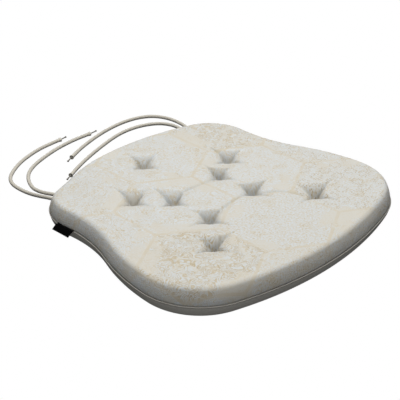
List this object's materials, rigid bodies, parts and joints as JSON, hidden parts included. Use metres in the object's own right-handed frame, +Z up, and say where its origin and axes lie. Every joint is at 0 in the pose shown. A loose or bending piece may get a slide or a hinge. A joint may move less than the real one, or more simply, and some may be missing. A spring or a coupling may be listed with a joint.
{
  "type": "chair seat pad",
  "caption": "Tufted seat pad for a dining chair: wide rounded front, slight waist, seam welt, blank side label and a pair of cord ties at each back corner.",
  "frame": {"origin": "centre of the pad's bounding box (welt included, ties left out), at the underside it rests on", "axes": "+X across the width, +Y towards the back edge with the ties, +Z up through the thickness; the pad is near-symmetric about the YZ plane"},
  "size_m": [0.4022, 0.5084, 0.042],
  "materials": {
    "cover_cloth": "matte",
    "welt_cloth": "matte",
    "wadding": "matte",
    "foam": "matte",
    "thread": "matte",
    "label_cloth": "matte",
    "tie_cord": "matte",
    "tie_end": "matte"
  },
  "bodies": {
    "pad": {"top_panel": "cover_cloth", "bottom_panel": "cover_cloth", "seam_welt": "welt_cloth", "upper_wadding": "wadding", "lower_wadding": "wadding", "foam_core": "foam", "label_tab": "label_cloth", "tie_tab_left": "tie_cord", "tie_tab_right": "tie_cord", "tuft_thread_1": "thread", "tuft_thread_2": "thread", "tuft_thread_3": "thread", "tuft_thread_4": "thread", "tuft_thread_5": "thread", "tuft_thread_6": "thread", "tuft_thread_7": "thread", "tuft_thread_8": "thread", "tuft_thread_9": "thread", "tuft_knot_1": "thread", "tuft_knot_2": "thread", "tuft_knot_3": "thread", "tuft_knot_4": "thread", "tuft_knot_5": "thread", "tuft_knot_6": "thread", "tuft_knot_7": "thread", "tuft_knot_8": "thread", "tuft_knot_9": "thread", "tie_left_outer": "tie_cord", "tie_collar_left_outer": "tie_end", "tie_tail_left_outer": "tie_end", "tie_left_inner": "tie_cord", "tie_collar_left_inner": "tie_end", "tie_tail_left_inner": "tie_end", "tie_right_inner": "tie_cord", "tie_collar_right_inner": "tie_end", "tie_tail_right_inner": "tie_end", "tie_right_outer": "tie_cord", "tie_collar_right_outer": "tie_end", "tie_tail_right_outer": "tie_end"},
    "label": {"label_flap": "label_cloth"}
  },
  "joints": [
    {"name": "label_fold", "type": "hinge", "parent": "pad", "child": "label", "pos_m": [-0.1673, 0.0966, 0.0209], "axis": [0, 1, 0], "range_deg": [-50, 80], "stiffness_Nm_per_rad": 0.002}
  ]
}
